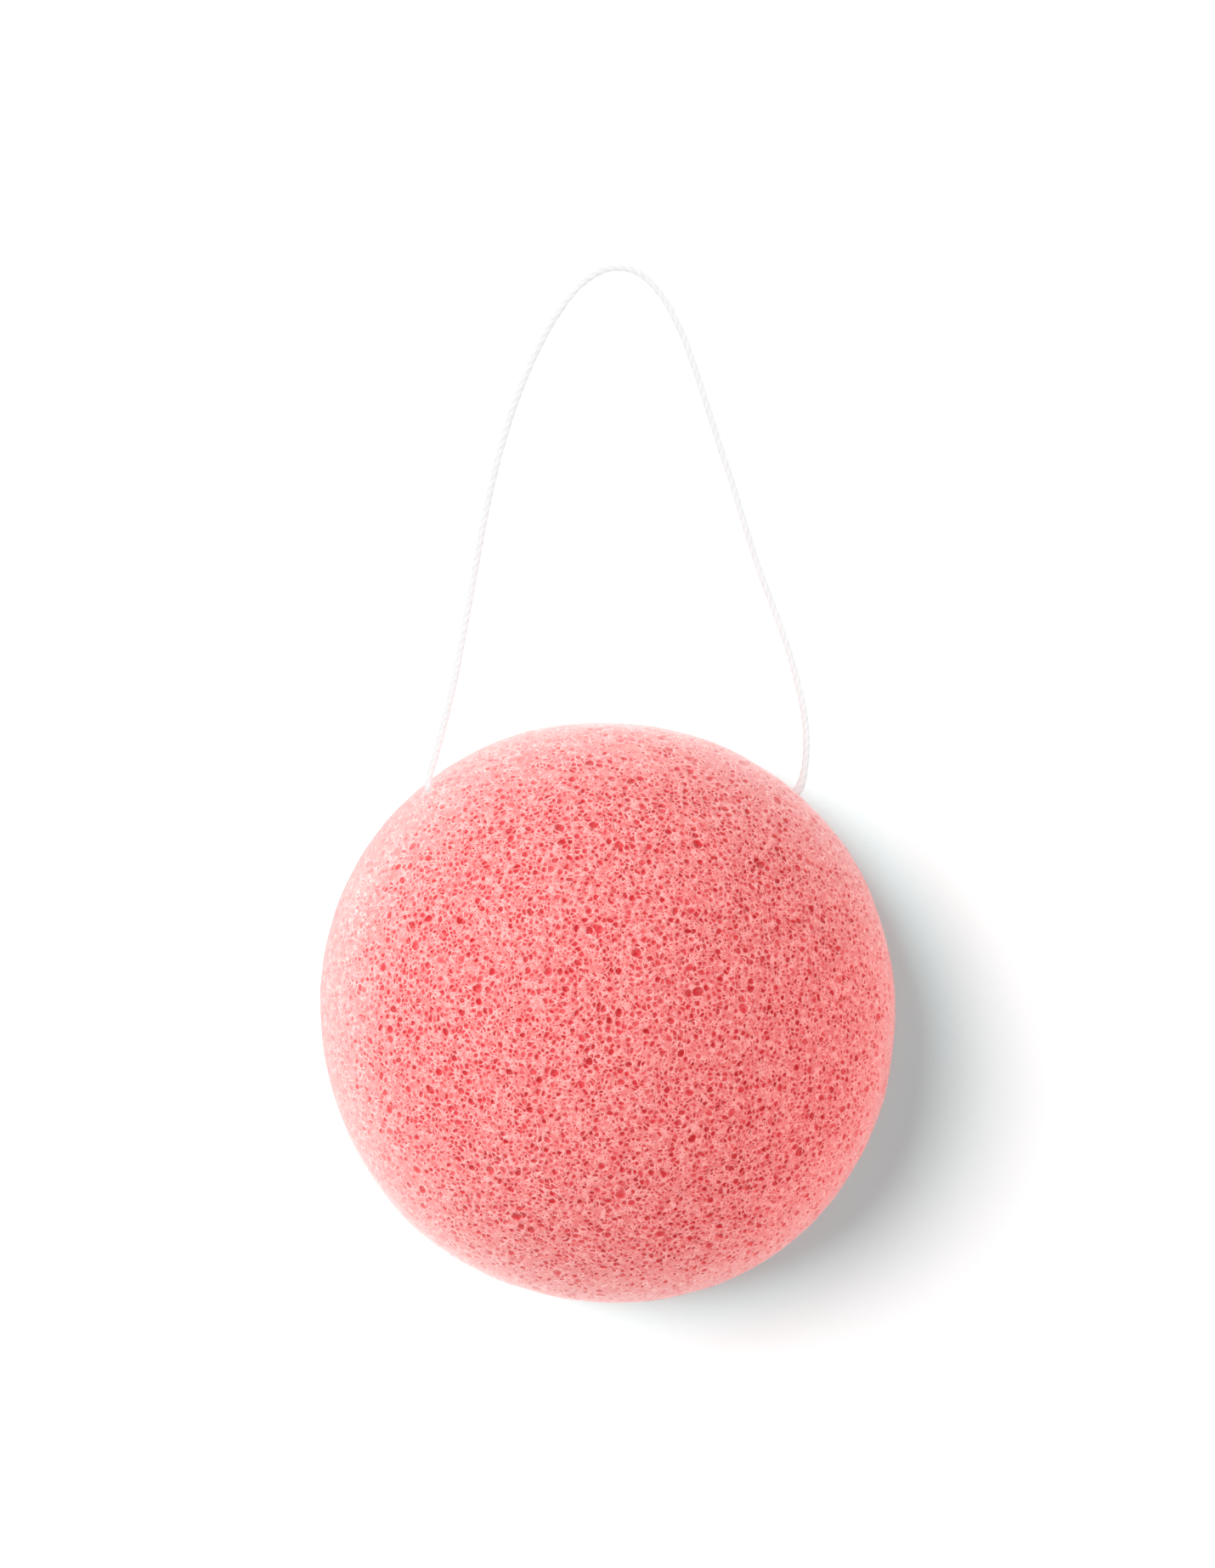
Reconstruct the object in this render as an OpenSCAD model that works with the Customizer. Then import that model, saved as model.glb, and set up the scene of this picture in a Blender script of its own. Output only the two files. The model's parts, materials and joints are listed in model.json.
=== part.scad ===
// Half-ball konjac sponge with a cotton hanging loop.
// Millimetres. The flat base lies on z = 0 with its centre at the origin, and the
// loop lies on the same surface, towards +Y.

/* [Sponge] */
// Diameter of the sponge at its widest level
sponge_d = 80; // [74:1:96]
// Height from the flat base to the top of the crown
sponge_h = 40; // [36:1:43]
// Radius of the soft edge that joins the flat base to the side
base_edge_r = 8; // [7:0.5:10]
// Radius of the shoulder arc, as a share of the dome's height above its widest level
shoulder_share = 0.75; // [0.6:0.05:0.85]

/* [Open pores] */
// Width of the largest open pores
pore_d = 2; // [1.2:0.1:2.4]
// Smallest of the large pores, as a share of the largest
pore_least_share = 0.5; // [0.4:0.05:0.6]
// Number of large pores over the dome
dome_pores = 96; // [20:4:120]
// Number of large pores over the flat base
base_pores = 36; // [8:4:60]

/* [Thread] */
// Diameter of the cotton thread
thread_d = 1; // [0.8:0.1:1.4]
// How far in from the sponge's back edge the thread runs straight through the foam
run_depth = 9.8; // [8:0.2:13]
// Height of the left mouth, just above the widest level
left_mouth_z = 16; // [12:0.5:20]
// Height of the right mouth, tucked under the widest level
right_mouth_z = 6.5; // [5:0.5:9]
// Radius of the dent that the thread pulls into the foam at each mouth
dent_r = 2.6; // [2.2:0.1:3]
// Room between the thread and the foam round it
thread_gap = 0.1; // [0.05:0.05:0.2]
// Gap between the swinging loop and the thread's end at each mouth
swing_gap = 0.3; // [0.2:0.05:0.4]
// How far the loop's ends stand out past the mouths, along the run's line
loop_standoff = 0.8; // [0.6:0.1:1]

/* [Knot] */
// Place of the knot along the inner run, as a share of the run from the left mouth
knot_place_share = 0.82; // [0.3:0.02:0.86]
// Size of the knot's lobes, as a share of the thread's diameter
knot_lobe_share = 0.9; // [0.9:0.05:1]
// Rise of the knot's crossings, as a share of the thread's diameter
knot_rise_share = 0.95; // [0.95:0.05:1.1]

/* [Hidden] */

foam_pink = [0.93, 0.52, 0.52];
cotton_white = [0.96, 0.95, 0.93];

// Overrun that carries every cut past the surface it opens
overrun = 1;

// Dome profile: base edge, shoulder and crown arcs, each tangent to the next
sponge_r = sponge_d / 2;
widest_z = base_edge_r;
flat_r = sponge_r - base_edge_r;
dome_h = sponge_h - widest_z;
shoulder_r = shoulder_share * dome_h;
shoulder_x = sponge_r - shoulder_r;
crown_r = (sponge_r ^ 2 + dome_h ^ 2 - 2 * sponge_r * shoulder_r) / (2 * (dome_h - shoulder_r));
crown_z = sponge_h - crown_r;
// Elevation, seen from the crown's centre, where the crown arc meets the shoulder arc
join_angle = atan2(widest_z - crown_z, shoulder_x);
join_r = crown_r * cos(join_angle);

// Radius of the side at a height between the base and the shoulder's end
function side_r(z) =
    z < widest_z
        ? flat_r + sqrt(base_edge_r ^ 2 - (widest_z - z) ^ 2)
        : shoulder_x + sqrt(shoulder_r ^ 2 - (z - widest_z) ^ 2);

// Height of the dome at a distance from the sponge's axis
function dome_z(r) =
    r < join_r
        ? crown_z + sqrt(crown_r ^ 2 - r ^ 2)
        : widest_z + sqrt(shoulder_r ^ 2 - (r - shoulder_x) ^ 2);

// Distance from the sponge's axis to the thread's run
run_y = sponge_r - run_depth;

// Point on the side at a height, on the line y = run_y; side is -1 for left, 1 for right
function mouth(z, side) = [side * sqrt(side_r(z) ^ 2 - run_y ^ 2), run_y, z];

// Thread's straight run through the foam, from mouth to mouth
left_mouth = mouth(left_mouth_z, -1);
right_mouth = mouth(right_mouth_z, 1);
run = right_mouth - left_mouth;
run_len = norm(run);
run_turn = atan2(run[0], run[2]);
run_inset = thread_d / 2 + swing_gap - loop_standoff;
bore_d = thread_d + 2 * thread_gap;

// Overhand knot: a trefoil opened at one lobe, whose two ends turn out along the run
knot_lobe = knot_lobe_share * thread_d;
knot_rise = knot_rise_share * thread_d;
knot_z = knot_place_share * run_len;
knot_from_angle = 138;
knot_steps = 34;
// Ends of the knot, in lobes: how far they reach along the run, and from the knot's centre
knot_end_share = 4.4;
knot_line_share = 2.6;
// Reach of the knot's pocket past its centre, in lobes
knot_reach_share = 3;
// Turn of each end into the knot, in lobes
knot_turn_shares = [[3.5, 2.6, 0], [2.6, 2.5, 0.15], [1.85, 2.1, 0.5]];
knot_half = knot_end_share * knot_lobe;
knot_line = knot_line_share * knot_lobe;
pocket_r = knot_reach_share * knot_lobe + thread_d / 2 + thread_gap;

// Pores: a golden-angle spiral, with each pore's place and size drawn from a fixed sequence
golden_angle = 180 * (3 - sqrt(5));
place_seed = 7;
size_seed = 11;
// Outermost pores, as shares of the sponge's radius and of the flat base's radius
dome_reach_share = 0.97;
base_reach_share = 0.9;
// How far a pore wanders from its place, as a share of the distance between pores
wander_share = 0.28;

// Route of the free loop, from the left mouth round the tip to the right mouth.
// It leaves each mouth level, sinks to the surface and lies on it.
loop_route = [
    [-24.9, 30.2, 16.2], [-24.6, 32.4, 16.1], [-24.0, 35.0, 14.9], [-23.1, 39.0, 11.9],
    [-22.2, 43.0, 8.4], [-21.3, 47.4, 4.9], [-20.3, 52.0, 2.4], [-19.2, 57.0, 1.1],
    [-18.2, 62.0, 0.6], [-17.1, 68.0, 0.6], [-15.8, 74.0, 0.6], [-14.2, 80.0, 0.6],
    [-12.2, 86.0, 0.6], [-9.8, 91.6, 0.6], [-6.9, 96.8, 0.6], [-3.6, 100.9, 0.6],
    [0.3, 103.1, 0.6], [4.2, 102.6, 0.6], [7.4, 99.6, 0.6], [10.0, 95.0, 0.6],
    [12.1, 89.6, 0.6], [13.9, 84.0, 0.6], [15.7, 78.4, 0.6], [17.6, 72.6, 0.6],
    [19.3, 67.0, 0.6], [21.1, 61.4, 0.6], [23.2, 55.8, 0.6], [25.1, 50.4, 0.8],
    [26.5, 45.4, 1.6], [27.4, 40.8, 3.2], [27.7, 36.6, 5.1], [27.4, 32.8, 6.2],
    [26.8, 30.2, 6.4]
];
loop_rings_per_stretch = 2;
tube_sides = 8;

function unit(v) = v / norm(v);

// Point of a smooth curve through the route, at share t of the stretch that starts at i
function route_point(p, i, t) =
    let (
        last = len(p) - 1,
        b = p[i],
        c = p[i + 1],
        a = i > 0 ? p[i - 1] : 2 * b - c,
        d = i + 1 < last ? p[i + 2] : 2 * c - b
    )
    b + (c - a) * t / 2
      + (2 * a - 5 * b + 4 * c - d) * t ^ 2 / 2
      + (3 * b - 3 * c + d - a) * t ^ 3 / 2;

function smooth_route(p, steps) = [
    for (i = [0:len(p) - 2], s = [0:steps - 1]) route_point(p, i, s / steps),
    p[len(p) - 1]
];

function directions(p) = [
    for (i = [0:len(p) - 1]) unit(p[min(i + 1, len(p) - 1)] - p[max(i - 1, 0)])
];

// Normals that turn with the path and never twist round it
function path_normals(dirs, first) = [
    for (
        i = 0, n = unit(first - (first * dirs[0]) * dirs[0]);
        i < len(dirs);
        i = i + 1, n = i < len(dirs) ? unit(n - (n * dirs[i]) * dirs[i]) : n
    ) n
];

// Round thread along a path, closed at both ends
module thread_tube(path, first_normal) {
    dirs = directions(path);
    normals = path_normals(dirs, first_normal);
    rings = len(path);
    points = [
        for (i = [0:rings - 1], s = [0:tube_sides - 1])
            let (turn = 360 * (s + 0.5) / tube_sides)
            path[i] + thread_d / 2
                * (cos(turn) * normals[i] + sin(turn) * cross(dirs[i], normals[i]))
    ];
    walls = [
        for (i = [0:rings - 2], s = [0:tube_sides - 1])
            let (
                near_a = i * tube_sides + s,
                near_b = i * tube_sides + (s + 1) % tube_sides,
                far_a = near_a + tube_sides,
                far_b = near_b + tube_sides
            )
            each [[near_a, far_a, near_b], [near_b, far_a, far_b]]
    ];
    first_end = [for (s = [1:tube_sides - 2]) [0, s, s + 1]];
    last_start = (rings - 1) * tube_sides;
    last_end = [for (s = [1:tube_sides - 2]) [last_start, last_start + s + 1, last_start + s]];
    polyhedron(points, concat(walls, first_end, last_end));
}

// Places what is drawn along +Z on the thread's straight run through the foam
module on_run() {
    translate(left_mouth) rotate([0, run_turn, 0]) children();
}

module dome_outline() {
    reach = crown_r + sponge_r;
    // Crown arc, inside the sector above its join with the shoulder
    intersection() {
        translate([0, crown_z]) circle(r = crown_r, $fn = 180);
        polygon([
            [0, crown_z],
            [reach * cos(join_angle), crown_z + reach * sin(join_angle)],
            [0, crown_z + reach]
        ]);
        translate([0, widest_z]) square([sponge_r, sponge_h]);
    }
    // Shoulder arc, above the widest level
    intersection() {
        translate([shoulder_x, widest_z]) circle(r = shoulder_r, $fn = 180);
        translate([0, widest_z]) square([sponge_r, sponge_h]);
    }
    // Base edge arc, and the flat base inside it
    translate([flat_r, base_edge_r]) circle(r = base_edge_r, $fn = 72);
    square([flat_r, widest_z + overrun]);
}

function pore_size(i, sizes) = pore_d * (pore_least_share + (1 - pore_least_share) * sizes[i]);

// Places of large pores on a disc, spread evenly and then moved a little
function pore_places(count, reach, wander) = [
    for (i = [0:count - 1])
        let (
            spacing = reach * sqrt(PI / count),
            r = reach * sqrt((i + 0.5) / count) + wander[2 * i] * wander_share * spacing,
            turn = golden_angle * i,
            aside = wander[2 * i + 1] * wander_share * spacing
        )
        [r * cos(turn) - aside * sin(turn), r * sin(turn) + aside * cos(turn)]
];

function clear_of_mouths(p) =
    min(norm(p - left_mouth), norm(p - right_mouth)) > dent_r + pore_d;

module large_pores() {
    sizes = rands(0, 1, dome_pores + base_pores, size_seed);
    wander = rands(-1, 1, 2 * (dome_pores + base_pores), place_seed);
    dome_places = pore_places(dome_pores, dome_reach_share * sponge_r, wander);
    for (i = [0:dome_pores - 1]) {
        p = dome_places[i];
        r = min(norm(p), dome_reach_share * sponge_r);
        place = [r * unit(p)[0], r * unit(p)[1], dome_z(r)];
        if (clear_of_mouths(place))
            translate(place) sphere(d = pore_size(i, sizes), $fn = 24);
    }
    base_places = pore_places(base_pores, base_reach_share * flat_r, wander);
    for (i = [0:base_pores - 1]) {
        p = base_places[i];
        r = min(norm(p), base_reach_share * flat_r);
        translate([r * unit(p)[0], r * unit(p)[1], 0])
            sphere(d = pore_size(dome_pores + i, sizes), $fn = 24);
    }
}

// Foam half ball with its thread passage, knot pocket, mouth dents and large pores
module sponge_body() {
    color(foam_pink) difference() {
        rotate_extrude($fn = 180) dome_outline();
        on_run() {
            cylinder(d = bore_d, h = run_len, $fn = 32);
            sphere(r = dent_r, $fn = 48);
            translate([0, 0, run_len]) sphere(r = dent_r, $fn = 48);
            translate([0, -knot_line, knot_z]) sphere(r = pocket_r, $fn = 48);
        }
        large_pores();
    }
}

// The two straight stretches of thread that the foam holds, either side of the knot
module inner_thread() {
    color(cotton_white) on_run() {
        translate([0, 0, run_inset])
            cylinder(d = thread_d, h = knot_z - knot_half - run_inset, $fn = 32);
        translate([0, 0, knot_z + knot_half])
            cylinder(d = thread_d, h = run_len - run_inset - knot_z - knot_half, $fn = 32);
    }
}

// Point of the opened trefoil at an angle, in the knot's own axes: run, depth, rise
function trefoil(a) = [
    knot_lobe * (sin(a) + 2 * sin(2 * a)),
    knot_lobe * (2 * cos(2 * a) - cos(a)),
    -knot_rise * sin(3 * a)
];

function knot_turn(s, side) = [
    side * s[0] * knot_lobe,
    s[1] * knot_lobe,
    side * s[2] * knot_rise
];

function knot_path() = concat(
    [[-knot_half, knot_line, 0]],
    [for (s = knot_turn_shares) knot_turn(s, -1)],
    [for (i = [0:knot_steps]) trefoil(knot_from_angle * (1 - 2 * i / knot_steps))],
    [for (i = [len(knot_turn_shares) - 1:-1:0]) knot_turn(knot_turn_shares[i], 1)],
    [[knot_half, knot_line, 0]]
);

// Overhand knot that joins the thread's ends, drawn into the foam
module loop_knot() {
    color(cotton_white) on_run()
        translate([0, -knot_line, knot_z])
            rotate([0, -90, 0]) thread_tube(knot_path(), [0, 0, 1]);
}

// Free stretch of the thread: the loop that the sponge hangs by
module hanging_loop() {
    color(cotton_white)
        thread_tube(smooth_route(loop_route, loop_rings_per_stretch), [0, 0, 1]);
}

sponge_body();
inner_thread();
loop_knot();
hanging_loop();
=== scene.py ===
import json
import math

import bpy
import numpy as np
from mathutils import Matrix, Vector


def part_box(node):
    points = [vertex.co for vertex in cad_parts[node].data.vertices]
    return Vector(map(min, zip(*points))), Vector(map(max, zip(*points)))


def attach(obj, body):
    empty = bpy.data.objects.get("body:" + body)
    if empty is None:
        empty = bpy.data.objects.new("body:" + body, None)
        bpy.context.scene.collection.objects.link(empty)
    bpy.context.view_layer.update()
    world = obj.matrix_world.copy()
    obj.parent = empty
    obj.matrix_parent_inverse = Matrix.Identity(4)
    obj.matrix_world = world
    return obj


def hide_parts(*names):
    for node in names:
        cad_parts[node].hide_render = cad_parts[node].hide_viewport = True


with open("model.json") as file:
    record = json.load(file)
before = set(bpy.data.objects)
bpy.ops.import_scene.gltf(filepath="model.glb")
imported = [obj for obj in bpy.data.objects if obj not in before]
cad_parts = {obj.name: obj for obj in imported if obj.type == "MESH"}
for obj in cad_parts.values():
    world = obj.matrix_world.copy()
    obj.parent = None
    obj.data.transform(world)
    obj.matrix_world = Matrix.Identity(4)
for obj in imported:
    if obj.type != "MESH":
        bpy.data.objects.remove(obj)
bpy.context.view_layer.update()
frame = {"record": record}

MM = 0.001
sponge_low, sponge_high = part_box("sponge_body")

# Dome profile, as in the CAD source: crown, shoulder and base edge arcs, each tangent to the next
SPONGE_R = (sponge_high[0] - sponge_low[0]) / 2
SPONGE_H = sponge_high[2] - sponge_low[2]
BASE_EDGE_R = 8 * MM
SHOULDER_SHARE = 0.75
FLAT_R = SPONGE_R - BASE_EDGE_R
DOME_H = SPONGE_H - BASE_EDGE_R
SHOULDER_R = SHOULDER_SHARE * DOME_H
SHOULDER_X = SPONGE_R - SHOULDER_R
CROWN_R = (SPONGE_R**2 + DOME_H**2 - 2 * SPONGE_R * SHOULDER_R) / (2 * (DOME_H - SHOULDER_R))
CROWN_Z = SPONGE_H - CROWN_R
JOIN_ANGLE = math.atan2(BASE_EDGE_R - CROWN_Z, SHOULDER_X)

# Thread: its diameter, and the line between its two mouths, which the loop swings about
THREAD_D = 1.0 * MM
swing = next(j for j in frame["record"]["behaviour"]["joints"] if j["name"] == "loop_swing")
LEFT_MOUTH = np.array(swing["pos_m"])
RUN_AXIS = np.array(swing["axis"]) / np.linalg.norm(swing["axis"])
RUN_LEN = 51.0 * MM

# Route of the free loop in metres, from just inside the left mouth round the tip to just inside the right
# one, where the foam holds its ends
LOOP_ROUTE = [
    (-0.0230, 0.0289, 0.0155), (-0.0241, 0.0300, 0.0161), (-0.0245, 0.0312, 0.0163),
    (-0.0243, 0.0327, 0.0160), (-0.0236, 0.0350, 0.0149),
    (-0.0226, 0.0390, 0.0119), (-0.0217, 0.0430, 0.0084), (-0.0208, 0.0474, 0.0049),
    (-0.0200, 0.0520, 0.0024), (-0.0191, 0.0570, 0.0011), (-0.0182, 0.0620, 0.0006),
    (-0.0171, 0.0680, 0.0006), (-0.0158, 0.0740, 0.0006), (-0.0142, 0.0800, 0.0006),
    (-0.0122, 0.0860, 0.0006), (-0.0098, 0.0916, 0.0006), (-0.0069, 0.0968, 0.0006),
    (-0.0036, 0.1009, 0.0006), (0.0003, 0.1031, 0.0006), (0.0042, 0.1026, 0.0006),
    (0.0074, 0.0996, 0.0006), (0.0100, 0.0950, 0.0006), (0.0121, 0.0896, 0.0006),
    (0.0139, 0.0840, 0.0006), (0.0157, 0.0784, 0.0006), (0.0176, 0.0726, 0.0006),
    (0.0193, 0.0670, 0.0006), (0.0211, 0.0614, 0.0006), (0.0232, 0.0558, 0.0006),
    (0.0251, 0.0504, 0.0008), (0.0265, 0.0454, 0.0016), (0.0274, 0.0408, 0.0032),
    (0.0276, 0.0366, 0.0051), (0.0273, 0.0334, 0.0062), (0.0268, 0.0314, 0.0065),
    (0.0258, 0.0299, 0.0066), (0.0244, 0.0293, 0.0068),
]

# Camera: straight above, its frame set by the sponge's outline in the photograph
IMAGE_W, IMAGE_H = 1430, 1845
SPONGE_PIXEL = (714.5, 1190.5)
SPONGE_PIXEL_R = 341
CAMERA_HEIGHT = 1.0
SENSOR = 36.0


def add_camera():
    distance = CAMERA_HEIGHT - BASE_EDGE_R
    metres_per_pixel = SPONGE_R / SPONGE_PIXEL_R
    data = bpy.data.cameras.new("camera")
    data.sensor_fit = "VERTICAL"
    data.sensor_height = SENSOR
    data.lens = SENSOR * distance / (IMAGE_H * metres_per_pixel)
    camera = bpy.data.objects.new("camera", data)
    camera.location = (
        (IMAGE_W / 2 - SPONGE_PIXEL[0]) * metres_per_pixel,
        (SPONGE_PIXEL[1] - IMAGE_H / 2) * metres_per_pixel,
        CAMERA_HEIGHT,
    )
    bpy.context.scene.collection.objects.link(camera)
    bpy.context.scene.camera = camera


def srgb(r, g, b):
    """Linear colour, with alpha, of an sRGB one given from 0 to 255."""
    def linear(c):
        c /= 255
        return c / 12.92 if c <= 0.04045 else ((c + 0.055) / 1.055) ** 2.4
    return (linear(r), linear(g), linear(b), 1.0)


class Graph:
    """Short calls that add nodes to a shader or geometry tree; most return an output socket."""

    def __init__(self, tree):
        self.tree = tree

    def add(self, kind, **settings):
        node = self.tree.nodes.new(kind)
        for name, value in settings.items():
            setattr(node, name, value)
        return node

    def feed(self, socket, value):
        """Give a socket a link to another socket, or a constant."""
        if isinstance(value, bpy.types.NodeSocket):
            self.tree.links.new(value, socket)
        else:
            socket.default_value = value

    def math(self, operation, *values, clamp=False):
        node = self.add("ShaderNodeMath", operation=operation, use_clamp=clamp)
        for socket, value in zip(node.inputs, values):
            self.feed(socket, value)
        return node.outputs[0]

    def product(self, first, *others):
        """All the values multiplied, from the first on."""
        for value in others:
            first = self.math("MULTIPLY", first, value)
        return first

    def vector(self, operation, *values, scale=None):
        node = self.add("ShaderNodeVectorMath", operation=operation)
        for socket, value in zip(node.inputs, values):
            self.feed(socket, value)
        if scale is not None:
            self.feed(node.inputs["Scale"], scale)
        return node.outputs[0]

    def distance(self, place, point):
        node = self.add("ShaderNodeVectorMath", operation="DISTANCE")
        self.feed(node.inputs[0], place)
        self.feed(node.inputs[1], point)
        return node.outputs["Value"]

    def parts(self, vector):
        """The three components of a vector or colour."""
        node = self.add("ShaderNodeSeparateXYZ")
        self.feed(node.inputs[0], vector)
        return node.outputs

    def remap(self, value, low, high, to_low=0.0, to_high=1.0, smooth=True):
        kind = "SMOOTHSTEP" if smooth else "LINEAR"
        node = self.add("ShaderNodeMapRange", interpolation_type=kind)
        for socket, v in zip(node.inputs, (value, low, high, to_low, to_high)):
            self.feed(socket, v)
        return node.outputs[0]

    def blend(self, share, start, end, kind="MIX"):
        """Colour that goes from start to end as the share goes from 0 to 1."""
        node = self.add("ShaderNodeMix", data_type="RGBA", blend_type=kind)
        self.feed(node.inputs["Factor"], share)
        self.feed(node.inputs["A"], start)
        self.feed(node.inputs["B"], end)
        return node.outputs["Result"]

    def noise(self, where, scale, detail, colour=False):
        node = self.add("ShaderNodeTexNoise", noise_dimensions="3D")
        self.feed(node.inputs["Vector"], where)
        node.inputs["Scale"].default_value = scale
        node.inputs["Detail"].default_value = detail
        return node.outputs["Color" if colour else "Fac"]

    def cells(self, where, scale, feature="F1"):
        node = self.add("ShaderNodeTexVoronoi", voronoi_dimensions="3D", feature=feature)
        self.feed(node.inputs["Vector"], where)
        node.inputs["Scale"].default_value = scale
        return node

    def bump(self, shader, height, strength, distance):
        """Let a height in units of the distance tilt the shader's normal."""
        node = self.add("ShaderNodeBump")
        node.inputs["Strength"].default_value = strength
        node.inputs["Distance"].default_value = distance
        self.feed(node.inputs["Height"], height)
        self.feed(shader.inputs["Normal"], node.outputs[0])


# Foam pores from small to large: cells per millimetre, share of cells that open, least and greatest radius
# of an open cell and width of its rim, in mm, and whether a wall parts it from its neighbours
SMALL_PORES = [
    (3.90, 1.00, 0.09, 0.16, 0.040, False),
    (2.25, 1.00, 0.18, 0.30, 0.055, True),
]
LARGE_PORES = [
    (1.30, 0.95, 0.30, 0.50, 0.075, True),
    (0.74, 0.50, 0.38, 0.62, 0.090, True),
    (0.36, 0.30, 0.48, 0.80, 0.110, False),
]
# Each level takes its cells from elsewhere in the pattern, this far off times its cells per mm
LEVEL_SHIFT = 17.3
# An open cell's depth is drawn between these shares of its ball's
DEPTH_SHARES = (0.3, 1.2)
# An open cell and its ridge cover this share of what smaller cells show
COVER = 0.8
# The ridge round an open cell, in widths of its rim: how far outside the cell it starts and is full, and
# how far inside it ends
RIDGE_START = 1.5
RIDGE_FULL = 0.5
RIDGE_END = 0.8
# Down the sides the cells are drawn out: below this height in mm a place is read higher by this many mm per
# square mm of its drop, and after a drop of this many mm it goes on evenly
STRETCH_FROM = 29.0
STRETCH = 0.016
STRETCH_OVER = 11.0
# Sways that draw the cells out of shape: features per mm and reach in mm
SWAYS = [(0.22, 0.7), (1.3, 0.20), (3.6, 0.07)]
NOISE_MIDDLE = 0.5


def foam_place(graph, rest):
    """Place in the foam in millimetres, drawn out of shape a little so that no cell is a perfect ball."""
    place = graph.vector("SCALE", rest, scale=1 / MM)
    height = graph.parts(place)[2]
    drop = graph.math("MAXIMUM", graph.math("SUBTRACT", STRETCH_FROM, height), 0.0)
    # The square of the drop at first, and further down the straight line that goes on from it
    growing = graph.math("MINIMUM", drop, STRETCH_OVER)
    going_on = graph.math("SUBTRACT", graph.product(drop, 2.0), growing)
    raised = graph.add("ShaderNodeCombineXYZ")
    graph.feed(raised.inputs[2], graph.product(growing, going_on, STRETCH))
    place = graph.vector("ADD", place, raised.outputs[0])
    for scale, reach in SWAYS:
        sway = graph.noise(place, scale, detail=1.0, colour=True)
        sway = graph.vector("SUBTRACT", sway, (NOISE_MIDDLE, NOISE_MIDDLE, NOISE_MIDDLE))
        place = graph.vector("ADD", place, graph.vector("SCALE", sway, scale=2 * reach))
    return place


def pores(graph, place, levels, depth=0.0, ridge=0.0):
    """Depth of the open cells in mm and strength of their ridges, each level laid over the smaller ones."""
    for scale, share, least, most, rim, walled in levels:
        shift = LEVEL_SHIFT * scale
        moved = graph.vector("ADD", place, (shift, -shift, shift))
        ball = graph.cells(moved, scale)
        size_draw, open_draw, depth_draw = graph.parts(ball.outputs["Color"])
        radius = graph.remap(size_draw, 0.0, 1.0, least, most, smooth=False)
        within = graph.math("SUBTRACT", radius, graph.math("DIVIDE", ball.outputs["Distance"], scale))
        if walled:
            edge = graph.cells(moved, scale, "DISTANCE_TO_EDGE")
            to_edge = graph.math("DIVIDE", edge.outputs["Distance"], scale)
            within = graph.math("MINIMUM", within, graph.math("SUBTRACT", to_edge, rim / 2))
        if share < 1:
            closed = graph.math("GREATER_THAN", open_draw, share)
            within = graph.math("SUBTRACT", within, graph.product(closed, 2 * most))
        sunk = graph.math("SQRT", graph.product(graph.math("MAXIMUM", within, 0.0), least + most))
        sunk = graph.product(sunk, graph.remap(depth_draw, 0.0, 1.0, *DEPTH_SHARES, smooth=False))
        left = graph.remap(within, 0.0, rim, 1.0, 1 - COVER)
        rising = graph.remap(within, -RIDGE_START * rim, -RIDGE_FULL * rim)
        falling = graph.remap(within, 0.0, RIDGE_END * rim, 1.0, 0.0)
        band = graph.product(rising, falling)
        depth = graph.math("ADD", graph.product(depth, left), sunk)
        depth = graph.product(depth, graph.math("SUBTRACT", 1.0, graph.product(band, COVER)))
        ridge = graph.math("MAXIMUM", graph.product(ridge, left), band)
    return depth, ridge


# Sponge mesh: distance between points on the dome, how much wider it is on the flat base, and how far each
# point is moved along its ring, as a share of that distance
POINT_GAP = 0.21 * MM
BASE_GAP_RATIO = 1.5
POINT_JITTER = 0.22
JITTER_SEED = 5
# A ring narrower than this share of the gap is a single point, and others have at least so many points
CENTRE_SHARE = 0.25
LEAST_RING = 6
# Outline's departure from a circle, as shares of the radius: lobes, share and the angle of the first one
OUTLINE_WAVES = [
    (1, 0.0030, math.radians(-10)),
    (2, 0.0090, math.radians(117)),
    (3, 0.0015, math.radians(39)),
    (4, 0.0046, math.radians(45)),
    (5, 0.0013, math.radians(20)),
]
# Soft unevenness of the moulded surface: features per metre and height
SURFACE_SWELLS = [(60.0, 0.30 * MM), (200.0, 0.10 * MM)]
# The foam closes over the thread just inside the left mouth: how far in, how wide and how high
LIP_INSET = 1.2 * MM
LIP_R = 3.2 * MM
LIP_RISE = 0.5 * MM
# Share of full pore depth on the sides, and the heights between which it grows to full
SIDE_PORE_SHARE = 0.3
SIDE_LOW, SIDE_HIGH = 13 * MM, 30 * MM
# Painted light on the lit side: towards it the pores are shallower and the pale band reaches higher, which
# leaves the far side darker as painted shade: how much of that share it takes, how much higher it reaches
# and towards which angle
LIT_SIDE_LEAN = 0.16
LIT_SIDE_LEAN_RISE = 2.0 * MM
LIT_SIDE_LEAN_TURN = math.radians(168)
# Share of full pore depth on the flat base, where the normals point lower than this
BASE_PORE_SHARE = 0.7
BASE_NORMAL = -0.9
# Greatest depth of a pit in mm before it is made shallower, and the share of it that is kept
PIT_LIMIT = 0.45
PIT_SHARE = 0.65


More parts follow.
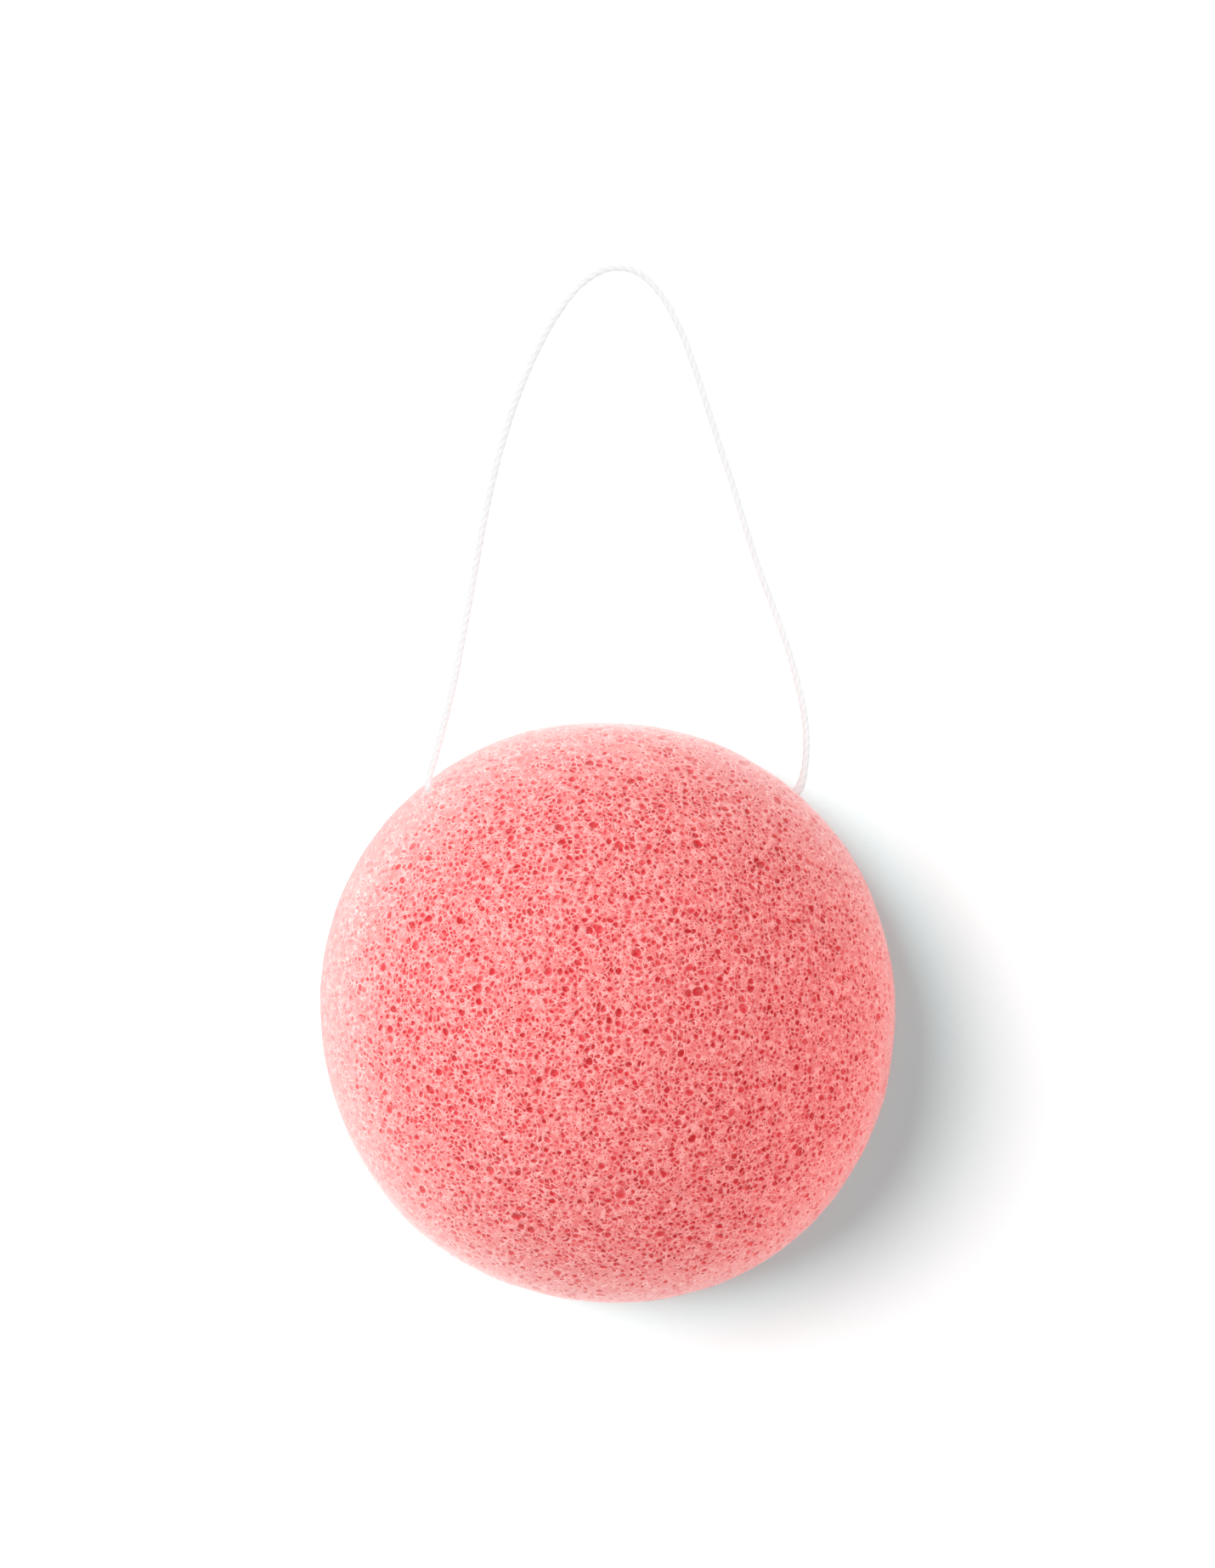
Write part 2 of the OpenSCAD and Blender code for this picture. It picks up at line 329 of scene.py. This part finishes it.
def profile():
    """Rings from the crown to the centre of the base, the number of them on the dome and the dome's length.

    Each ring has a radius, a height, the two parts of its outward normal and its length along the profile.
    """
    arcs = [
        (0, CROWN_Z, CROWN_R, math.pi / 2, JOIN_ANGLE),
        (SHOULDER_X, BASE_EDGE_R, SHOULDER_R, JOIN_ANGLE, 0),
        (FLAT_R, BASE_EDGE_R, BASE_EDGE_R, 0, -math.pi / 2),
    ]
    rows = []
    along = 0.0
    for x, z, r, start, end in arcs:
        steps = round(r * (start - end) / POINT_GAP)
        for i in range(steps):
            a = start + (end - start) * i / steps
            out, up = math.cos(a), math.sin(a)
            rows.append((x + r * out, z + r * up, out, up, along + r * (start - a)))
        along += r * (start - end)
    side_rows = len(rows)
    steps = round(FLAT_R / (POINT_GAP * BASE_GAP_RATIO))
    for i in range(steps + 1):
        rows.append((FLAT_R * (1 - i / steps), 0.0, 0.0, -1.0, along + FLAT_R * i / steps))
    return rows, side_rows, along


def stitch(start_a, count_a, turn_a, start_b, count_b, turn_b):
    """Triangles between two rings of points, the first above the second.

    Each ring has a first point, a number of points and a turn, as a share of a whole one.
    """
    if count_a == 1:
        return [(start_a, start_b + i, start_b + (i + 1) % count_b) for i in range(count_b)]
    if count_b == 1:
        return [(start_b, start_a + (i + 1) % count_a, start_a + i) for i in range(count_a)]
    faces = []
    a = b = 0
    while a < count_a or b < count_b:
        next_a = (a + 1) / count_a + turn_a
        next_b = (b + 1) / count_b + turn_b
        point_a = start_a + a % count_a
        point_b = start_b + b % count_b
        if b >= count_b or (a < count_a and next_a < next_b):
            faces.append((point_a, point_b, start_a + (a + 1) % count_a))
            a += 1
        else:
            faces.append((point_a, point_b, start_b + (b + 1) % count_b))
            b += 1
    return faces


def dome_points():
    """Points, normals, lengths along the profile, faces, first face of the base and the dome's length."""
    rows, side_rows, side_len = profile()
    draw = np.random.default_rng(JITTER_SEED)
    points, normals, lengths, faces, rings = [], [], [], [], []
    first = 0
    for j, (r, z, nr, nz, along) in enumerate(rows):
        gap = POINT_GAP if j < side_rows else POINT_GAP * BASE_GAP_RATIO
        count = 1 if r < CENTRE_SHARE * gap else max(LEAST_RING, round(2 * math.pi * r / gap))
        half_step = 0.5 / count
        turn = half_step if j % 2 and count > 1 else 0.0
        shift = draw.uniform(-POINT_JITTER, POINT_JITTER, count) * gap if count > 1 else np.zeros(1)
        angle = 2 * math.pi * (np.arange(count) / count + turn) + shift / max(r, gap)
        points.append(np.stack([r * np.cos(angle), r * np.sin(angle), np.full(count, z)], 1))
        normals.append(np.stack([nr * np.cos(angle), nr * np.sin(angle), np.full(count, nz)], 1))
        lengths.append(np.full(count, along))
        rings.append((first, count, turn))
        first += count
    base_face = 0
    for j, (upper, lower) in enumerate(zip(rings, rings[1:])):
        if j == side_rows:
            base_face = len(faces)
        faces += stitch(*upper, *lower)
    return (np.concatenate(points), np.concatenate(normals), np.concatenate(lengths),
            np.array(faces, dtype=np.int32), base_face, side_len)


def add_attribute(mesh, name, kind, values):
    attribute = mesh.attributes.new(name, kind, "POINT")
    field = "vector" if kind == "FLOAT_VECTOR" else "value"
    attribute.data.foreach_set(field, np.ravel(values).astype(np.float32))


def mesh_from(name, points, faces):
    """Smooth mesh from an array of points and one of faces, which all have the same number of corners."""
    mesh = bpy.data.meshes.new(name)
    mesh.vertices.add(len(points))
    mesh.vertices.foreach_set("co", np.ravel(points).astype(np.float32))
    mesh.loops.add(faces.size)
    mesh.loops.foreach_set("vertex_index", np.ravel(faces).astype(np.int32))
    mesh.polygons.add(len(faces))
    mesh.polygons.foreach_set("loop_start", np.arange(0, faces.size, faces.shape[1], dtype=np.int32))
    mesh.update(calc_edges=True)
    mesh.polygons.foreach_set("use_smooth", np.ones(len(faces), dtype=bool))
    return mesh


def link(name, mesh):
    """New object in the scene that shows a mesh."""
    piece = bpy.data.objects.new(name, mesh)
    bpy.context.scene.collection.objects.link(piece)
    return piece


# Texture map: the dome is spread on one disc and the flat base on another, each a centre and a radius, with
# room on the second for the outline's waves
DOME_DISC = (0.345, 0.655, 0.34)
BASE_DISC = (0.835, 0.165, 0.155)
BASE_DISC_ROOM = 1.02


def map_texture(mesh, points, lengths, faces, base_face, side_len):
    """Lay the dome out by its length along the profile and the base by its radius."""
    corners = np.ravel(faces)
    on_base = np.repeat(np.arange(len(faces)) >= base_face, 3)
    angle = np.arctan2(points[:, 1], points[:, 0])[corners]
    radius = np.hypot(points[:, 0], points[:, 1])[corners]
    x = np.where(on_base, BASE_DISC[0], DOME_DISC[0])
    y = np.where(on_base, BASE_DISC[1], DOME_DISC[1])
    base_r = BASE_DISC[2] * radius / (BASE_DISC_ROOM * FLAT_R)
    dome_r = DOME_DISC[2] * lengths[corners] / side_len
    r = np.where(on_base, base_r, dome_r)
    layer = mesh.uv_layers.new(name="OFBake")
    layer.data.foreach_set("uv", np.stack([x + r * np.cos(angle), y + r * np.sin(angle)], 1).ravel())


def swell_and_pit_group():
    """Geometry nodes that raise the soft swells and sink the pores along each point's outward normal."""
    tree = bpy.data.node_groups.new("foam_surface", "GeometryNodeTree")
    tree.interface.new_socket("Geometry", in_out="INPUT", socket_type="NodeSocketGeometry")
    tree.interface.new_socket("Geometry", in_out="OUTPUT", socket_type="NodeSocketGeometry")
    graph = Graph(tree)

    def attribute(name, kind):
        node = graph.add("GeometryNodeInputNamedAttribute", data_type=kind)
        node.inputs["Name"].default_value = name
        return node.outputs["Attribute"]

    rest = attribute("rest", "FLOAT_VECTOR")
    outward = attribute("outward", "FLOAT_VECTOR")
    strength = attribute("pore_strength", "FLOAT")
    depth = pores(graph, foam_place(graph, rest), LARGE_PORES)[0]
    offset = graph.product(graph.math("MINIMUM", depth, PIT_LIMIT), strength, -PIT_SHARE * MM)
    for scale, height in SURFACE_SWELLS:
        swell = graph.math("SUBTRACT", graph.noise(rest, scale, detail=1.0), NOISE_MIDDLE)
        offset = graph.math("ADD", offset, graph.product(swell, 2 * height))
    source = graph.add("NodeGroupInput")
    target = graph.add("NodeGroupOutput")
    move = graph.add("GeometryNodeSetPosition")
    graph.feed(move.inputs["Geometry"], source.outputs[0])
    graph.feed(move.inputs["Offset"], graph.vector("SCALE", outward, scale=offset))
    graph.feed(target.inputs[0], move.outputs[0])
    return tree


def outline_scale(angle):
    """How much wider than a circle the outline is at an angle."""
    scale = np.ones_like(angle)
    for lobes, share, first in OUTLINE_WAVES:
        scale += share * np.cos(lobes * (angle - first))
    return scale


def pore_strength(points, normals):
    """Share of full pore depth, less down the sides and towards the lamp; it also sets the painted pale
    band.
    """
    lean = np.cos(np.arctan2(points[:, 1], points[:, 0]) - LIT_SIDE_LEAN_TURN)
    side = np.clip((points[:, 2] - lean * LIT_SIDE_LEAN_RISE - SIDE_LOW) / (SIDE_HIGH - SIDE_LOW), 0, 1)
    least = SIDE_PORE_SHARE - LIT_SIDE_LEAN * lean
    strength = least + (1 - least) * side * side * (3 - 2 * side)
    return np.where(normals[:, 2] < BASE_NORMAL, BASE_PORE_SHARE, strength)


def sink_pores(sponge):
    """Apply the geometry nodes, and keep the base from swelling below the surface that it rests on."""
    pits = sponge.modifiers.new("pits", "NODES")
    pits.node_group = swell_and_pit_group()
    shaped = bpy.data.meshes.new_from_object(sponge.evaluated_get(bpy.context.evaluated_depsgraph_get()))
    sponge.modifiers.clear()
    sponge.data = shaped
    places = np.empty(len(shaped.vertices) * 3, dtype=np.float32)
    shaped.vertices.foreach_get("co", places)
    places[2::3] = np.maximum(places[2::3], 0)
    shaped.vertices.foreach_set("co", places)
    shaped.update()


def add_sponge(foam):
    points, normals, lengths, faces, base_face, side_len = dome_points()
    scale = outline_scale(np.arctan2(points[:, 1], points[:, 0]))
    points[:, :2] *= scale[:, None]
    near = np.linalg.norm(points - LEFT_MOUTH - LIP_INSET * RUN_AXIS, axis=1) / LIP_R
    rise = LIP_RISE * np.clip(1 - near**2, 0, 1) ** 2
    points += normals * rise[:, None]
    mesh = mesh_from("sponge_foam", points, faces)
    add_attribute(mesh, "rest", "FLOAT_VECTOR", points)
    add_attribute(mesh, "outward", "FLOAT_VECTOR", normals)
    add_attribute(mesh, "pore_strength", "FLOAT", pore_strength(points, normals))
    map_texture(mesh, points, lengths, faces, base_face, side_len)
    sponge = link("sponge_foam", mesh)
    sink_pores(sponge)
    sponge.data.materials.clear()
    sponge.data.materials.append(foam)
    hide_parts("sponge_body")
    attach(sponge, "sponge")


# Foam colours by depth in mm, from the ridges to the deepest cells, darker with depth as painted shade
FOAM_COLOURS_WITH_PIT_SHADE = [
    (0.00, (227, 122, 121)),
    (0.07, (222, 98, 100)),
    (0.17, (217, 69, 76)),
    (0.30, (212, 42, 53)),
    (0.48, (203, 22, 37)),
    (0.75, (187, 5, 22)),
]
RIDGE_COLOUR = (244, 178, 174)
SHEEN_COLOUR = (255, 240, 238)
# Painted pale band down the sides, painted light that stands in for the sheen of foam seen at a slant:
# colours of itself, of its blotches and of the ridges in it, blotches per mm, and how far it hides the
# pores
PAINTED_RIM_COLOUR = (236, 176, 173)
PAINTED_RIM_BLOTCH_COLOUR = (232, 138, 137)
PAINTED_RIM_RIDGE_COLOUR = (245, 206, 202)
PAINTED_RIM_BLOTCHES = 1.0
PAINTED_RIM_COVER = 0.67
# Pores show through the painted pale band: depths in mm between which they break it, and how much of it
# they take away
PAINTED_RIM_BREAK_FROM, PAINTED_RIM_BREAK_TO = 0.09, 0.27
PAINTED_RIM_BREAK = 0.75
# Pore strength at which the small pores have faded, and what is left of them there
FINE_FADE = 0.6
FINE_LEFT = 0.35
# Cloudy change in how deep the pores look: features per mm, the noise values that it runs between, and the
# shares of depth that it moves between
CLOUD = 0.45
CLOUD_BAND = (0.3, 0.7)
CLOUD_SHARES = (0.5, 1.5)
# Ridges fade in patches: features per mm, and what is left of them there
RIDGE_PATCHES = 1.1
RIDGE_LEFT = 0.15
# Noise values between which the ridges' patches and the skin's blotches change over
PATCH_BAND = (0.35, 0.65)


def new_material(name):
    material = bpy.data.materials.new(name)
    material.use_nodes = True
    graph = Graph(material.node_tree)
    shader = material.node_tree.nodes["Principled BSDF"]
    return material, graph, shader


def depth_colour_with_pit_shade(graph, depth):
    """Colour of the open foam at a depth, darker in deep pores as painted shade."""
    ramp = graph.add("ShaderNodeValToRGB")
    graph.feed(ramp.inputs[0], depth)
    stops = ramp.color_ramp.elements
    for position, _ in FOAM_COLOURS_WITH_PIT_SHADE[1:-1]:
        stops.new(position)
    for stop, (position, colour) in zip(stops, FOAM_COLOURS_WITH_PIT_SHADE):
        stop.position = position
        stop.color = srgb(*colour)
    return ramp.outputs[0]


def foam_material():
    material, graph, shader = new_material("konjac_foam")
    rest = graph.add("ShaderNodeAttribute", attribute_name="rest").outputs["Vector"]
    strength = graph.add("ShaderNodeAttribute", attribute_name="pore_strength").outputs["Fac"]
    place = foam_place(graph, rest)
    small_depth, small_ridge = pores(graph, place, SMALL_PORES)
    fine = graph.remap(strength, FINE_FADE, 1.0, FINE_LEFT, 1.0, smooth=False)
    small_depth = graph.product(small_depth, fine)
    small_ridge = graph.product(small_ridge, fine)
    depth, ridge = pores(graph, place, LARGE_PORES, small_depth, small_ridge)
    cloud = graph.remap(graph.noise(place, CLOUD, detail=3.0), *CLOUD_BAND, *CLOUD_SHARES)
    depth = graph.product(depth, cloud, strength)
    patches = graph.noise(place, RIDGE_PATCHES, detail=2.0)
    ridge = graph.product(ridge, graph.remap(patches, *PATCH_BAND, RIDGE_LEFT, 1.0))

    # Where the pore strength is low the foam takes the painted pale band, light painted into its colour
    closed = graph.remap(strength, SIDE_PORE_SHARE, 1.0, 1.0, 0.0, smooth=False)
    blotches = graph.remap(graph.noise(place, PAINTED_RIM_BLOTCHES, detail=3.0), *PATCH_BAND)
    painted_rim = graph.blend(blotches, srgb(*PAINTED_RIM_COLOUR), srgb(*PAINTED_RIM_BLOTCH_COLOUR))
    broken_cover = PAINTED_RIM_COVER * (1 - PAINTED_RIM_BREAK)
    unbroken = graph.remap(depth, PAINTED_RIM_BREAK_FROM, PAINTED_RIM_BREAK_TO, PAINTED_RIM_COVER, broken_cover)
    surface = graph.blend(graph.product(closed, unbroken), depth_colour_with_pit_shade(graph, depth), painted_rim)
    ridge_colour = graph.blend(closed, srgb(*RIDGE_COLOUR), srgb(*PAINTED_RIM_RIDGE_COLOUR))
    graph.feed(shader.inputs["Base Color"], graph.blend(ridge, surface, ridge_colour))

    shader.inputs["Roughness"].default_value = 0.85
    shader.inputs["Specular IOR Level"].default_value = 0.5
    shader.inputs["Sheen Weight"].default_value = 1.0
    shader.inputs["Sheen Roughness"].default_value = 0.4
    shader.inputs["Sheen Tint"].default_value = srgb(*SHEEN_COLOUR)
    graph.bump(shader, graph.product(small_depth, strength, -1.0), strength=0.35, distance=MM)
    return material


# Knot inside the foam: its place as a share of the run, the size of its lobes, and how far it rises
KNOT_PLACE = 0.82
KNOT_LOBE = 0.9 * THREAD_D
KNOT_RISE = 0.95 * THREAD_D
# How far beside its centre the thread runs in and out, and half the knot's length, both in lobes
KNOT_LINE = 2.6
KNOT_HALF = 4.4
# Angle at which its trefoil is cut open, and the steps from one end of it to the other
KNOT_FROM = math.radians(138)
KNOT_STEPS = 34
# Points that turn its ends into the thread's line: along and beside it in lobes, and above it in rises
KNOT_TURNS = [(3.5, 2.6, 0), (2.6, 2.5, 0.15), (1.85, 2.1, 0.5)]
# How far inside each mouth the held stretch of thread starts, and the points on its straight parts to the
# left and right of the knot
THREAD_INSET = 0.9 * MM
STRAIGHT_POINTS = (8, 4)

# Thread: three plies laid together, with grooves of this share of the radius that are sharper than a wave
PLIES = 3
PLY_TURN = 4.2 * MM
PLY_GROOVE = 0.17
GROOVE_SHARPNESS = 1.5
# Mesh of the thread: distance between its rings, points in a ring, how far its closed ends bulge, and
# points on the curve between two points of a route
THREAD_STEP = 0.24 * MM
THREAD_SIDES = 24
THREAD_BULGE = THREAD_D / 8
CURVE_POINTS = 40
# The thread loosens before the right mouth: from which share of its length, over what share, and how much
SWELL_FROM = 0.962
SWELL_OVER = 0.03
SWELL_SHARE = 0.38
# Cotton colours: dark painted into the grooves between the plies as shade, pale on their backs, and how
# much its shade owes to the fibres, which vary it at random, and to the grooves
COTTON_DARK = (228, 229, 229)
COTTON_PALE = (248, 249, 250)
FIBRE_SHADE = 0.5
GROOVE_SHADE = 0.6
# Fibres per metre, and how far light spreads in them
FIBRE_SCALE = 5200.0
COTTON_GLOW = 0.8 * MM


def smooth_path(route, step):
    """Points a step apart on a smooth curve through the route, and their lengths along it."""
    p = np.array(route, dtype=float)
    p = np.vstack([2 * p[0] - p[1], p, 2 * p[-1] - p[-2]])
    dense = []
    for a, b, c, d in zip(p, p[1:], p[2:], p[3:]):
        t = np.linspace(0, 1, CURVE_POINTS, endpoint=False)[:, None]
        dense.append(b + (c - a) * t / 2 + (2 * a - 5 * b + 4 * c - d) * t**2 / 2
                     + (3 * b - 3 * c + d - a) * t**3 / 2)
    dense = np.vstack(dense + [p[-2:-1]])
    length = np.concatenate([[0], np.cumsum(np.linalg.norm(np.diff(dense, axis=0), axis=1))])
    count = max(2, round(length[-1] / step))
    even = np.linspace(0, length[-1], count + 1)
    return np.stack([np.interp(even, length, dense[:, k]) for k in range(3)], 1), even


def path_frames(path):
    """Directions along a path, and two normals that never twist round it."""
    ahead = np.gradient(path, axis=0)
    ahead /= np.linalg.norm(ahead, axis=1)[:, None]
    side = np.cross(ahead[0], (0.0, 0.0, 1.0))
    sides = []
    for direction in ahead:
        side = side - direction * (side @ direction)
        side /= np.linalg.norm(side)
        sides.append(side)
    sides = np.array(sides)
    return ahead, sides, np.cross(ahead, sides)


def tube_faces(rings, sides):
    """Triangles of a tube of rings, closed by two end points that come after the rings."""
    faces = []
    for i in range(rings - 1):
        for s in range(sides):
            a = i * sides + s
            b = i * sides + (s + 1) % sides
            faces += [(a, b, a + sides), (b, b + sides, a + sides)]
    last = (rings - 1) * sides
    start_point = rings * sides
    for s in range(sides):
        t = (s + 1) % sides
        faces += [(start_point, t, s), (start_point + 1, last + s, last + t)]
    return np.array(faces, dtype=np.int32)


def thread_mesh(name, route, swell=None):
    """Twisted thread along a route, closed at both ends; swell widens it along its length."""
    path, along = smooth_path(route, THREAD_STEP)
    ahead, sides, ups = path_frames(path)
    around = 2 * np.pi * np.arange(THREAD_SIDES) / THREAD_SIDES
    twist = 2 * np.pi * along / PLY_TURN
    lobe = np.abs(np.cos(PLIES * (around[None] - twist[:, None]) / 2))
    radius = THREAD_D / 2 * (1 - PLY_GROOVE * (1 - lobe) ** GROOVE_SHARPNESS)
    if swell is not None:
        radius = radius * swell(along / along[-1])[:, None]
    outward = np.cos(around)[:, None] * sides[:, None] + np.sin(around)[:, None] * ups[:, None]
    points = (path[:, None] + radius[..., None] * outward).reshape(-1, 3)
    points = np.vstack([points, path[0] - ahead[0] * THREAD_BULGE, path[-1] + ahead[-1] * THREAD_BULGE])
    mesh = mesh_from(name, points, tube_faces(len(path), THREAD_SIDES))
    add_attribute(mesh, "groove", "FLOAT", np.concatenate([lobe.ravel(), [1.0, 1.0]]))
    return mesh, path, along[-1]


def cotton_material():
    material, graph, shader = new_material("cotton_thread")
    groove = graph.add("ShaderNodeAttribute", attribute_name="groove").outputs["Fac"]
    where = graph.add("ShaderNodeTexCoord").outputs["Object"]
    fibre = graph.noise(where, FIBRE_SCALE, detail=3.0)
    # The grooves darken the cotton as painted shade; the fibres vary it at random
    shade = graph.math("MULTIPLY_ADD", fibre, FIBRE_SHADE, graph.product(groove, GROOVE_SHADE), clamp=True)
    graph.feed(shader.inputs["Base Color"], graph.blend(shade, srgb(*COTTON_DARK), srgb(*COTTON_PALE)))
    shader.inputs["Roughness"].default_value = 0.9
    shader.inputs["Specular IOR Level"].default_value = 0.2
    shader.inputs["Sheen Weight"].default_value = 0.3
    shader.inputs["Subsurface Weight"].default_value = 1.0
    shader.inputs["Subsurface Radius"].default_value = (1.0, 1.0, 1.0)
    shader.inputs["Subsurface Scale"].default_value = COTTON_GLOW
    graph.bump(shader, fibre, strength=0.4, distance=0.1 * MM)
    return material


def right_end_swell(share):
    """How much wider the thread is over its last millimetres before the right mouth."""
    t = np.clip((share - SWELL_FROM) / SWELL_OVER, 0, 1)
    return 1 + SWELL_SHARE * t * t * (3 - 2 * t)


def inner_route():
    """Route inside the foam from mouth to mouth through the overhand knot, as in the CAD source."""
    across = np.array([0.0, 1.0, 0.0])
    up = np.cross(RUN_AXIS, across)
    level = KNOT_LINE * KNOT_LOBE

    def at(along, depth, rise):
        """Point given along the run from the left mouth, beside it and above it."""
        return LEFT_MOUTH + along * RUN_AXIS + (depth - level) * across + rise * up

    def trefoil(a):
        """Point of a trefoil at an angle, along, beside and above the knot's centre."""
        return (KNOT_LOBE * (math.sin(a) + 2 * math.sin(2 * a)),
                KNOT_LOBE * (2 * math.cos(2 * a) - math.cos(a)), -KNOT_RISE * math.sin(3 * a))

    turns = [(along * KNOT_LOBE, depth * KNOT_LOBE, rise * KNOT_RISE) for along, depth, rise in KNOT_TURNS]
    knot = [(-along, depth, -rise) for along, depth, rise in turns]
    knot += [trefoil(KNOT_FROM * (1 - 2 * i / KNOT_STEPS)) for i in range(KNOT_STEPS + 1)]
    knot += turns[::-1]
    middle = KNOT_PLACE * RUN_LEN
    half = KNOT_HALF * KNOT_LOBE
    left = np.linspace(THREAD_INSET, middle - half, STRAIGHT_POINTS[0])
    right = np.linspace(middle + half, RUN_LEN - THREAD_INSET, STRAIGHT_POINTS[1])
    route = [at(along, level, 0) for along in left]
    route += [at(middle + along, depth, rise) for along, depth, rise in knot]
    route += [at(along, level, 0) for along in right]
    return route


def add_thread(cotton):
    mesh, path, length = thread_mesh("loop_thread", LOOP_ROUTE, right_end_swell)
    loop = link("loop_thread", mesh)
    mesh.materials.append(cotton)
    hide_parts("hanging_loop")
    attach(loop, "loop")

    mesh, path, length = thread_mesh("knotted_thread", inner_route())
    inner = link("knotted_thread", mesh)
    mesh.materials.append(cotton)
    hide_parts("inner_thread", "loop_knot")
    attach(inner, "sponge")


# Lamps: a soft key from the upper left; a low reflector across from it that lifts the shaded side, tinted
# like the light that foam lets through; and a weaker high lamp for the white thread, so that it doesn't
# clip. Each has a name, turn and rise in degrees, strength, softness in degrees, colour and lit pieces
LAMPS = [
    ("key", 157, 38, 3.42, 62, (1.0, 1.0, 1.0), ["sponge_foam", "knotted_thread", "floor"]),
    ("reflector", -20, 17, 2.35, 100, (1.0, 0.49, 0.48), ["sponge_foam"]),
    ("thread_light", 120, 80, 2.2, 110, (1.0, 1.0, 1.0), ["loop_thread"]),
]
# White surround, as in a light tent: its strength at the horizon and high up, and where high up starts
LOW_FILL = 1.0
HIGH_FILL = 0.2
HIGH_FILL_FROM = math.sin(math.radians(38))
# Floor: half its width, and how far below the base it lies
FLOOR_HALF = 2.5
FLOOR_DROP = 0.05 * MM
# Floor colour as other surfaces see it, and as the camera does, brighter so that it clips to white
FLOOR_COLOUR = (0.92, 0.92, 0.92, 1)
FLOOR_SEEN_COLOUR = (1.31, 1.375, 1.38, 1)
# The foam throws pink light on the floor round it. Against that the camera sees the floor greener and bluer
# within this reach of the foam, and with less red in the shadow, whose tint fades out between two distances
# from its centre
FLOOR_NEAR_COLOUR = (1.27, 1.60, 1.60, 1)
FLOOR_NEAR_REACH = 11 * MM
FLOOR_SHADOW_TINT = (0.76, 1.02, 1.025, 1)
FLOOR_SHADOW_CENTRE = (18.5 * MM, -7.2 * MM, 0)
FLOOR_SHADOW_FROM, FLOOR_SHADOW_TO = 20 * MM, 43 * MM


def add_lamp(name, turn, rise, strength, softness, colour, pieces):
    """Distant lamp that lights the named pieces; only the foam casts a shadow in it, as in the photo."""
    data = bpy.data.lights.new(name, "SUN")
    data.energy = strength
    data.angle = math.radians(softness)
    data.color = colour
    lamp = bpy.data.objects.new(name, data)
    lamp.rotation_euler = (0, math.pi / 2 - math.radians(rise), math.radians(turn))
    bpy.context.scene.collection.objects.link(lamp)
    lit = bpy.data.collections.new(name + "_lights")
    for piece in pieces:
        lit.objects.link(bpy.data.objects[piece])
    lamp.light_linking.receiver_collection = lit
    shading = bpy.data.collections.new(name + "_shadows")
    shading.objects.link(bpy.data.objects["sponge_foam"])
    lamp.light_linking.blocker_collection = shading


def seen_straight(graph):
    """1 for rays that show what they hit, in the camera, in gloss or through a clear thing, else 0."""
    rays = graph.add("ShaderNodeLightPath")
    seen = graph.math("MAXIMUM", rays.outputs["Is Camera Ray"], rays.outputs["Is Glossy Ray"])
    return graph.math("MAXIMUM", seen, rays.outputs["Is Transmission Ray"])


def add_surround():
    world = bpy.data.worlds.new("surround")
    bpy.context.scene.world = world
    world.use_nodes = True
    graph = Graph(world.node_tree)
    back = world.node_tree.nodes["Background"]
    back.inputs["Color"].default_value = (1, 1, 1, 1)
    height = graph.parts(graph.add("ShaderNodeTexCoord").outputs["Generated"])[2]
    strength = graph.add("ShaderNodeMix", data_type="FLOAT")
    graph.feed(strength.inputs["Factor"], seen_straight(graph))
    graph.feed(strength.inputs["A"], graph.remap(height, 0.0, HIGH_FILL_FROM, LOW_FILL, HIGH_FILL))
    graph.feed(strength.inputs["B"], 1.0)
    graph.feed(back.inputs["Strength"], strength.outputs["Result"])


def add_floor():
    corners = [(-FLOOR_HALF, -FLOOR_HALF, 0), (FLOOR_HALF, -FLOOR_HALF, 0),
               (FLOOR_HALF, FLOOR_HALF, 0), (-FLOOR_HALF, FLOOR_HALF, 0)]
    floor = link("floor", mesh_from("floor", np.array(corners), np.array([(0, 1, 2, 3)])))
    floor.location.z = -FLOOR_DROP
    material, graph, shader = new_material("white_floor")
    place = graph.add("ShaderNodeTexCoord").outputs["Object"]
    from_foam = graph.distance(place, (0, 0, 0))
    from_shadow = graph.distance(place, FLOOR_SHADOW_CENTRE)
    near = graph.remap(from_foam, SPONGE_R, SPONGE_R + FLOOR_NEAR_REACH)
    shade = graph.remap(from_shadow, FLOOR_SHADOW_FROM, FLOOR_SHADOW_TO, 1.0, 0.0)
    seen = graph.blend(near, FLOOR_NEAR_COLOUR, FLOOR_SEEN_COLOUR)
    seen = graph.blend(shade, seen, FLOOR_SHADOW_TINT, "MULTIPLY")
    graph.feed(shader.inputs["Base Color"], graph.blend(seen_straight(graph), FLOOR_COLOUR, seen))
    shader.inputs["Roughness"].default_value = 1.0
    shader.inputs["Specular IOR Level"].default_value = 0.0
    floor.data.materials.append(material)


add_camera()
bpy.context.scene.view_settings.view_transform = "Standard"
add_thread(cotton_material())
add_sponge(foam_material())
add_floor()
for lamp in LAMPS:
    add_lamp(*lamp)
add_surround()
